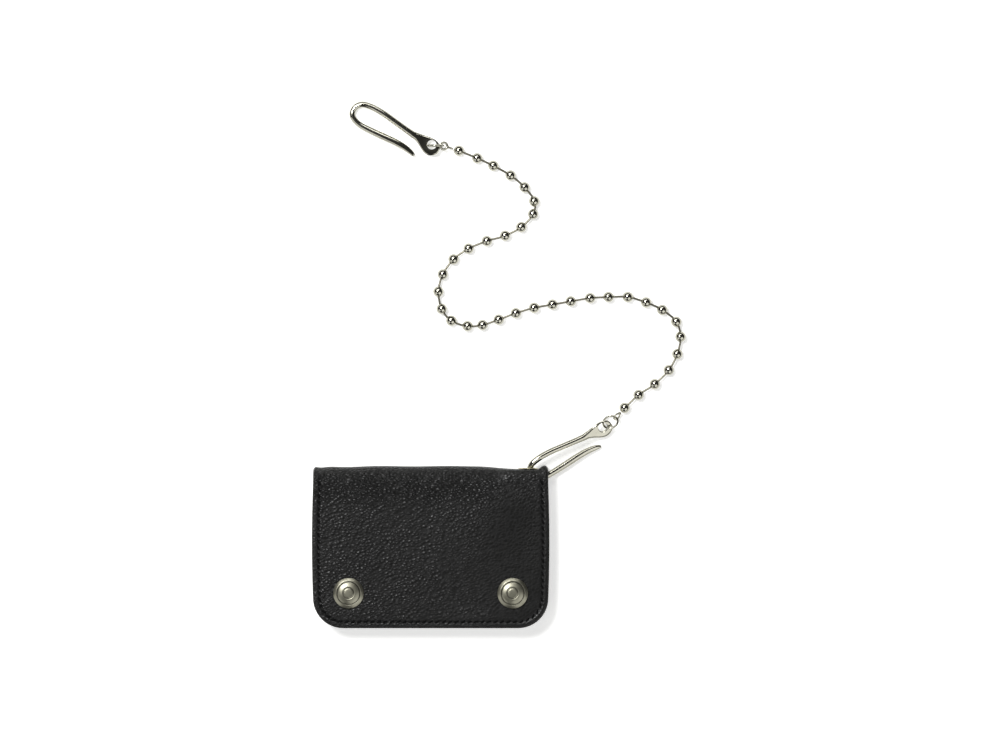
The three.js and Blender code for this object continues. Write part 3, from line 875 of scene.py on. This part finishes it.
def shellPoint(x, s, depth):
    # places on the folded hide, depth being how far below its outer face
    x, s, depth = (np.asarray(v, float) for v in (x, s, depth))
    y, z = sectionPoint(x, s)
    ahead = sectionPoint(x, s + 0.25)
    behind = sectionPoint(x, s - 0.25)
    ty, tz = ahead[0] - behind[0], ahead[1] - behind[1]
    length = np.maximum(np.hypot(ty, tz), 1e-9)
    bow = wallet["sideBow"] * sideBulge(y)
    # the front half lies over the pockets and is not quite flat, but for its edges and the crease
    swell = 0.16 * np.sin(x / 17 + 0.6) * np.sin(y / 13 + 0.4) + 0.1 * np.sin(x / 9 - y / 11)
    swell = np.where(s < flatLength, swell * (1 - smoothStep(y, 16, 27)), 0)
    swell = swell * (1 - smoothStep(abs(x), 44, 52))
    outward = swell * smoothStep(y, -34, -26) - depth
    return np.stack([x * (1 + bow / wallet["halfWidth"]), y - tz / length * outward,
                     z + ty / length * outward], 1)


# The stitches draw a furrow into the hide, deeper on the back, and beside it the front's leather
# stands up again in a crown; the back lies flat on the table
furrow = {"depth": 0.3, "width": 0.5, "onBack": 1.7, "onInside": 0.5, "crown": 0.1, "crownAt": 1.5,
          "crownWidth": 0.8, "fromFold": (7, 10)}


def makeShell():
    # the edge is rounded over, and then rings lie close together across the furrow
    profile = [(0, 0.5), (0.03, 0.34), (0.12, 0.19), (0.3, 0.08), (0.6, 0.02)]
    profile += [(inset, 0) for inset in (1.1, 1.7, 2.2, 2.5, 2.75, 3, 3.25, 3.5, 3.8, 4.5, 5.4)]
    plan, inset, share, faces = sheetLayout(shellOutline, profile, shellAcross, shellAlong)
    # the seam stops part of the way round the fold
    sewn = smoothStep(abs(plan[:, 1] - shellLength / 2), *furrow["fromFold"])
    fromSeam = (inset - wallet["seamInset"]) / furrow["width"]
    fromCrown = (inset - furrow["crownAt"]) / furrow["crownWidth"]
    seam = furrow["depth"] * np.exp(-fromSeam ** 2) * sewn
    crown = furrow["crown"] * np.exp(-fromCrown ** 2) * sewn
    isBack = plan[:, 1] > shellLength / 2
    isOutside = share < 0.5
    depth = share * wallet["leather"] + np.where(
        isOutside, seam * np.where(isBack, furrow["onBack"], 1), -seam * furrow["onInside"])
    depth = depth - np.where(isOutside & ~isBack, crown, 0)
    points = shellPoint(plan[:, 0], plan[:, 1], depth)
    whole = makePiece("outerLeather", points, faces, cowhide)
    writeGrainMap(whole, plan, inset)
    return whole


def splitShell(whole):
    # the hide is parted just above its crease, into the front half and the fold with the back
    parting = wallet["splitY"] * mm
    middle = wallet["thickness"] / 2 * mm
    shape = bmesh.new()
    shape.from_mesh(whole.data)
    upper = [f for f in shape.faces if f.calc_center_median().z > middle]
    near = {v for f in upper for v in f.verts} | {e for f in upper for e in f.edges} | set(upper)
    bmesh.ops.bisect_plane(shape, geom=list(near), plane_co=(0, parting, 0),
                           plane_no=(0, 1, 0))
    pieces = []
    for name, wantFront in (("frontLeather", True), ("foldAndBackLeather", False)):
        part = shape.copy()
        part.faces.ensure_lookup_table()
        centres = [(face, face.calc_center_median()) for face in part.faces]
        away = [face for face, at in centres if (at.z > middle and at.y < parting) != wantFront]
        bmesh.ops.delete(part, geom=away, context="FACES")
        mesh = bpy.data.meshes.new(name)
        part.to_mesh(mesh)
        part.free()
        pieces.append(placeMesh(name, mesh, cowhide))
    shape.free()
    bpy.data.objects.remove(whole)
    return pieces


shell = makeShell()
eyeletHole = turned([(0, -4), (3.45, -4), (3.45, 4), (0, 4)], 48)
holePoints = np.array(eyeletHole[0])[:, [0, 2, 1]]
holePoints += (eyeletAt[0], wallet["crease"] + 8, eyeletAt[2])
shell = cutAway(shell, makePiece("punch", holePoints, eyeletHole[1], cowhide))
frontLeather, backLeather = splitShell(shell)
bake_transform(frontLeather)
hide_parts("front_cover")
settle(backLeather, "back_half", "outer_leather", "spine_fold", "back_cover")
print("outer leather is cut and folded")


# Saddle stitches, each a short arched run of thread whose ends dive into the leather. Sections
# are how far along the stitch, from -1 to 1, and the share of the thread's radius there
stitch = {
    "pitch": 3.0,
    "length": 2.3,
    "radius": 0.42,
    "slant": 0.5,
    "rise": 0.16,
    "dive": 0.42,
    "sections": [(-1, 0.62), (-0.9, 0.92), (-0.62, 1), (-0.3, 1), (0, 1), (0.3, 1), (0.62, 1),
                 (0.9, 0.92), (1, 0.62)],
    "frontBase": -0.2,  # height over the hide's face
    "backBase": -0.58,
}


def alongRoute(route, pitch):
    # places and directions at equal steps along a flat route
    route = np.asarray(route, float)
    steps = np.hypot(*np.diff(route, axis=0).T)
    reach = np.concatenate([[0], np.cumsum(steps)])
    count = max(1, int(reach[-1] // pitch))
    start = (reach[-1] - count * pitch) / 2 + pitch / 2
    found = []
    for distance in start + pitch * np.arange(count):
        i = min(np.searchsorted(reach, distance, side="right") - 1, len(steps) - 1)
        t = (distance - reach[i]) / steps[i]
        found.append((route[i] * (1 - t) + route[i + 1] * t, (route[i + 1] - route[i]) / steps[i]))
    return found


def stitchRow(name, route, mapper, base, size=1.0):
    # the mapper takes a place on the flat route and a height over it to where the hide really is
    sides = 8
    flat = []
    faces = []
    for place, direction in alongRoute(route, stitch["pitch"] * size):
        sideways = np.array([-direction[1], direction[0]])
        for t, share in stitch["sections"]:
            start = len(flat)
            radius = stitch["radius"] * size * share
            middle = base + stitch["rise"] * (1 - t * t) - stitch["dive"] * t ** 6
            centre = (place + direction * t * stitch["length"] / 2 * size
                      + sideways * stitch["slant"] * t * size)
            for angle in circleAngles(sides):
                spot = centre + sideways * radius * math.cos(angle)
                flat.append((spot[0], spot[1], middle + radius * math.sin(angle)))
            if t > -1:
                faces += band(start - sides, start, sides)
            else:
                faces.append([start + j for j in range(sides)])
        faces.append([start + j for j in range(sides)])
    flat = np.array(flat)
    return makePiece(name, mapper(flat[:, 0], flat[:, 1], flat[:, 2]), faces, thread)


def onShell(x, s, height):
    return shellPoint(x, s, -height)


def seamRoute(reach):
    # down the left side, along the low edge and up the right side, seamInset from the hide's edge
    loop = outlineLoop(shellOutline, wallet["seamInset"], shellAcross, shellAlong)
    route = loop[[i % len(loop) for i in range(-shellAlong, shellAcross + shellAlong + 1)]]
    return route[route[:, 1] <= reach]


seamReach = flatLength + 5.2  # the rows end part of the way round the fold
frontSeam = stitchRow("frontStitching", seamRoute(seamReach), onShell, stitch["frontBase"])
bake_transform(frontSeam)
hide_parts("cover_seam_thread")
backRoute = seamRoute(seamReach) * (1, -1) + (0, shellLength)
backSeam = stitchRow("backStitching", backRoute, onShell, stitch["backBase"])
settle(backSeam, "back_half", "thread", "back_seam_thread")
print("outer stitching is sewn")


inside = {
    "turnedEdge": 3.2,  # how far the strips round the pockets are turned in
    "coinEdge": 2.4,
    "studHole": 2.1,  # radius
    "zipOpening": (42, 3, 2.99),  # half length, half height and corner of the zip's window
    "zipSeam": (44, 5, 4.9),  # the same for the stitches round it
    "smallStitch": 0.75,  # the coin pocket's and the zip's stitches, beside the others
}


def sheetPiece(name, node, material, lowRadius=None, highRadius=1.6, wave=0.05,
               across=44, along=30):
    # a panel of hide or cloth that fills its node's box; one with no lowRadius of its own follows
    # the wallet's outline
    low, high = boxOf(node)
    bow = 0 if lowRadius is not None else wallet["sideBow"]
    halfWidth = high[0] - bow
    if lowRadius is None:
        lowRadius = wallet["corner"] - (wallet["halfWidth"] - halfWidth)
    outline = (halfWidth, low[1], high[1], lowRadius, highRadius)
    profile = [(0, 0.5), (0.03, 0.32), (0.1, 0.16), (0.25, 0.05), (0.5, 0), (0.9, 0), (1.3, 0)]
    plan, inset, share, faces = sheetLayout(outline, profile, across, along)
    thickness = high[2] - low[2]
    x, y = plan.T
    swell = wave * (np.sin(x / 11 + low[2]) * np.sin(y / 8 + low[2]) - 0.4)
    swell = swell * smoothStep(inset, 0.5, 2.3)
    points = np.stack([x * (1 + bow * sideBulge(y) / halfWidth), y,
                       high[2] - share * thickness + swell * (1 - share)], 1)
    piece = makePiece(name, points, faces, material)
    writeGrainMap(piece, plan + (0, low[2] * 7), inset)  # each panel is cut from its own place
    return piece


def slabTool(outline, low, high):
    loop = outlineLoop(outline, 0, 26, 16)
    count = len(loop)
    points = [(x, y, z) for z in (low, high) for x, y in loop]
    faces = band(0, count, count) + [list(range(count)), list(range(count, 2 * count))]
    return makePiece("blade", points, faces, splitLeather)


def punchHoles(piece):
    radius = inside["studHole"]
    for node in ("left_snap_cap", "right_snap_cap"):
        x, y, _ = centreOf(node)
        points, faces = turned([(0, -1), (radius, -1), (radius, 20), (0, 20)], 40)
        cutAway(piece, makePiece("punch", np.array(points) + (x, y, 0), faces, splitLeather))
    return piece


def turnedEdge(name, node):
    # a strip left open at the top, where a pocket opens
    low, high = boxOf(node)
    width = inside["turnedEdge"]
    inner = (high[0] - width, low[1] + width, high[1] + 5, 10, 1)
    edge = cutAway(sheetPiece(name, node, splitLeather), slabTool(inner, low[2] - 1, high[2] + 1))
    settle(edge, "back_half", "inner_leather", node)


turnedEdge("billPocketTurnedEdge", "bill_pocket_edge")
for name, node in (("billPocketLeather", "bill_pocket_panel"), ("rearCardSlot", "card_slot_rear"),
                   ("middleCardSlot", "card_slot_middle")):
    settle(sheetPiece(name, node, splitLeather), "back_half", "inner_leather", node)
turnedEdge("cardSlotTurnedEdge", "card_slot_edge")
frontSlot = punchHoles(sheetPiece("frontCardSlot", "card_slot_front", splitLeather))
settle(frontSlot, "back_half", "inner_leather", "card_slot_front")

lining = punchHoles(sheetPiece("wovenLining", "front_lining", liningCloth, wave=0))
settle(lining, "cover", "lining", "front_lining")

coinLow, coinHigh = boxOf("coin_pocket_front")
coinEdge = sheetPiece("coinPocketTurnedEdge", "coin_pocket_frame", splitLeather, 2, wave=0)
strip = inside["coinEdge"]
pouch = (coinHigh[0] - strip, coinLow[1] + strip, coinHigh[1] - strip, 1, 1)
coinEdge = cutAway(coinEdge, slabTool(pouch, 10, 13))
settle(coinEdge, "cover", "inner_leather", "coin_pocket_frame")
zipAt = centreOf("left_zip_stop")
halfLength, halfHeight, corner = inside["zipOpening"]
opening = (halfLength, zipAt[1] - halfHeight, zipAt[1] + halfHeight, corner, corner)
coinFront = sheetPiece("coinPocketLeather", "coin_pocket_front", splitLeather, 2, wave=0,
                       across=60, along=26)
coinFront = cutAway(coinFront, slabTool(opening, 9, 13))
settle(coinFront, "cover", "inner_leather", "coin_pocket_front")

for name, node in (("upperZipTape", "upper_zip_tape"), ("lowerZipTape", "lower_zip_tape")):
    tape = sheetPiece(name, node, zipCloth, 1.5, 1.5, wave=0, across=50, along=14)
    settle(tape, "cover", "zip_tape", node)


def flatMapper(heightOf, direction):
    # stitches on a flat panel: heightOf gives its face's height at each y
    def mapper(x, y, height):
        return np.stack([x, y, heightOf(y) + direction * height], 1)
    return mapper


def pocketFace(y):
    # the pockets step down towards the fold
    face = np.full(len(y), boxOf("bill_pocket_panel")[1][2])
    for node in ("card_slot_rear", "card_slot_middle", "card_slot_front"):
        high = boxOf(node)[1]
        face = np.where(y < high[1], high[2], face)
    return face


def insideRoute(highest):
    route = seamRoute(flatLength) + (0, wallet["bottom"])
    return route[route[:, 1] <= highest]


pocketSeam = stitchRow("pocketStitching", insideRoute(25.5), flatMapper(pocketFace, 1), -0.1)
settle(pocketSeam, "back_half", "thread")
liningFace = boxOf("front_lining")[0][2]
liningMapper = flatMapper(lambda y: liningFace, -1)
liningSeam = stitchRow("liningStitching", insideRoute(27), liningMapper, -0.1)
settle(liningSeam, "cover", "thread")
halfLength, halfHeight, corner = inside["zipSeam"]
coinLoop = outlineLoop((coinHigh[0], coinLow[1], coinHigh[1], 2, 2), 1.3, 60, 26)
zipLoop = outlineLoop((halfLength, zipAt[1] - halfHeight, zipAt[1] + halfHeight, corner, corner),
                      0, 60, 26)
coinMapper = flatMapper(lambda y: coinLow[2], -1)
for name, loop in (("coinPocketStitching", coinLoop), ("zipStitching", zipLoop)):
    row = stitchRow(name, np.vstack([loop, loop[:1]]), coinMapper, -0.12, inside["smallStitch"])
    settle(row, "cover", "thread")
print("inner leather, lining and pockets are sewn in")


# Cap: a struck dome with two sunk rings round a plain boss, dulled where a cloth doesn't reach.
# Rings are radius, depth and width
cap = {"dome": 1.75, "domePower": 2.6, "rings": [(5.35, 0.2, 0.26), (2.5, 0.16, 0.3)],
       "ringTarnish": 3.6, "rimTarnish": 0.2, "post": 1.7, "underside": 14.1}


def snapCap(name, node):
    low, high = boxOf(node)
    x, y, _ = centreOf(node)
    radius = (high[0] - low[0]) / 2
    segments = 96
    under = cap["underside"]
    profile = []
    tarnish = []
    for r in np.concatenate([np.linspace(0, 5, 34), np.linspace(5.1, 6.9, 26), [7.0, radius]]):
        dome = cap["dome"] * (r / radius) ** cap["domePower"]
        sunk = sum(depth * math.exp(-((r - at) / width) ** 2) for at, depth, width in cap["rings"])
        profile.append((r, high[2] - 0.02 - dome - sunk))
        tarnish += [min(1, sunk * cap["ringTarnish"])] * segments
    rim = [(radius, under + 0.4), (radius - 0.12, under + 0.15), (radius - 0.4, under),
           (cap["post"], under), (cap["post"], low[2]), (0, low[2])]
    tarnish += [cap["rimTarnish"]] * segments * len(rim)
    points, faces = turned(profile + rim, segments)
    settle(makePiece(name, np.array(points) + (x, y, 0), faces, nickelSilver, 60, tarnish),
           "cover", "snap_metal", node)


def turnedPiece(name, node, profile, body, closed=False):
    x, y, _ = centreOf(node)
    points, faces = turned(profile, 64, closed)
    piece = makePiece(name, np.array(points) + (x, y, 0), faces, nickelSilver, sharpAngle=35)
    soften(piece, 0.1)
    settle(piece, body, "snap_metal", node)


# Radius and height pairs of the snap's turned parts
snap = {
    "socket": [(2.9, 8.2), (4.6, 8.2), (4.8, 8.6), (4.8, 11), (5.8, 11.2), (5.8, 11.8), (2.1, 11.8),
               (2.1, 10.6), (2.9, 10.6)],
    "stud": [(0, 7.4), (4.2, 7.4), (4.2, 7.7), (1.9, 7.9), (1.85, 8.3), (1.95, 8.7), (2.1, 9.1),
             (2.05, 9.45), (1.8, 9.75), (1.3, 9.97), (0.7, 10.04), (0, 10.05)],
    "rivet": [(0, 5.65), (2.8, 5.65), (3, 5.75), (3, 6), (1.3, 6.1), (1.2, 6.2), (1.2, 7.3),
              (0, 7.3)],
}
for side in ("left", "right"):
    snapCap(side + "SnapCap", side + "_snap_cap")
    turnedPiece(side + "SnapSocket", side + "_snap_socket", snap["socket"], "cover", closed=True)
    turnedPiece(side + "SnapStud", side + "_snap_stud", snap["stud"], "back_half")
    turnedPiece(side + "StudRivet", side + "_stud_rivet", snap["rivet"], "back_half")


def eyeletPiece(name, node, profile):
    points, faces = turned(profile, 72, closed=True)
    points = np.array(points)[:, [0, 2, 1]] + (eyeletAt[0], 0, eyeletAt[2])
    piece = makePiece(name, points, faces, eyeletNickel, sharpAngle=50)
    settle(piece, "back_half", "polished_nickel", node)


# Eyelet: the flange is rolled over, so its rim stands proud of a shallow dish
rimLow, rimHigh = boxOf("eyelet")
flange = rimHigh[1] - 0.5
eyeletPiece("rolledEyelet", "eyelet", [
    (3.1, rimLow[1]), (3.4, rimLow[1]), (3.4, flange), (4.6, flange), (4.7, flange + 0.12),
    (4.62, flange + 0.3), (4.35, flange + 0.44), (4, flange + 0.5), (3.65, flange + 0.44),
    (3.35, flange + 0.25), (3.16, flange - 0.1), (3.1, flange - 0.5)])
washLow, washHigh = boxOf("eyelet_washer")
eyeletPiece("eyeletWasher", "eyelet_washer", [
    (3.55, washLow[1]), (3.88, washLow[1]), (3.95, washLow[1] + 0.08), (3.95, washHigh[1] - 0.08),
    (3.88, washHigh[1]), (3.55, washHigh[1])])
print("snaps and eyelet are set")


# Each tooth's root grips the tape's cord, and its head reaches between its neighbours. Both have
# a width, how far from the zip's middle they start and end, and their heights
zipTeeth = {"pitch": 2.0, "root": (1.05, (1.2, 2.3), (10.3, 11)),
            "head": (0.8, (0.5, 1.25), (10.4, 10.9))}


def block(x, y, z):
    points = [(i, j, k) for i in x for j in y for k in z]
    faces = [[0, 1, 3, 2], [4, 6, 7, 5], [0, 4, 5, 1], [2, 3, 7, 6], [0, 2, 6, 4], [1, 5, 7, 3]]
    return points, faces


for name, node, side, shift in (("upperZipTeeth", "upper_zip_teeth", 1, 0),
                                ("lowerZipTeeth", "lower_zip_teeth", -1, 1)):
    low, high = boxOf(node)
    shapes = []
    half = zipTeeth["root"][0] / 2
    for x in np.arange(low[0] + half + shift, high[0] - half, zipTeeth["pitch"]):
        for width, reach, heights in (zipTeeth["root"], zipTeeth["head"]):
            shapes.append(block((x - width / 2, x + width / 2),
                                sorted(zipAt[1] + side * r for r in reach), heights))
    teeth = makePiece(name, *joinShapes(shapes), zipNickel, sharpAngle=30)
    soften(teeth, 0.12)
    settle(teeth, "cover", "zip_metal", node)

for node in ("left_zip_stop", "right_zip_stop", "zip_slider", "zip_pull"):
    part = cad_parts[node]
    part.data.materials.clear()
    part.data.materials.append(zipNickel)
    soften(part, 0.16, 3)
print("zip is fitted")
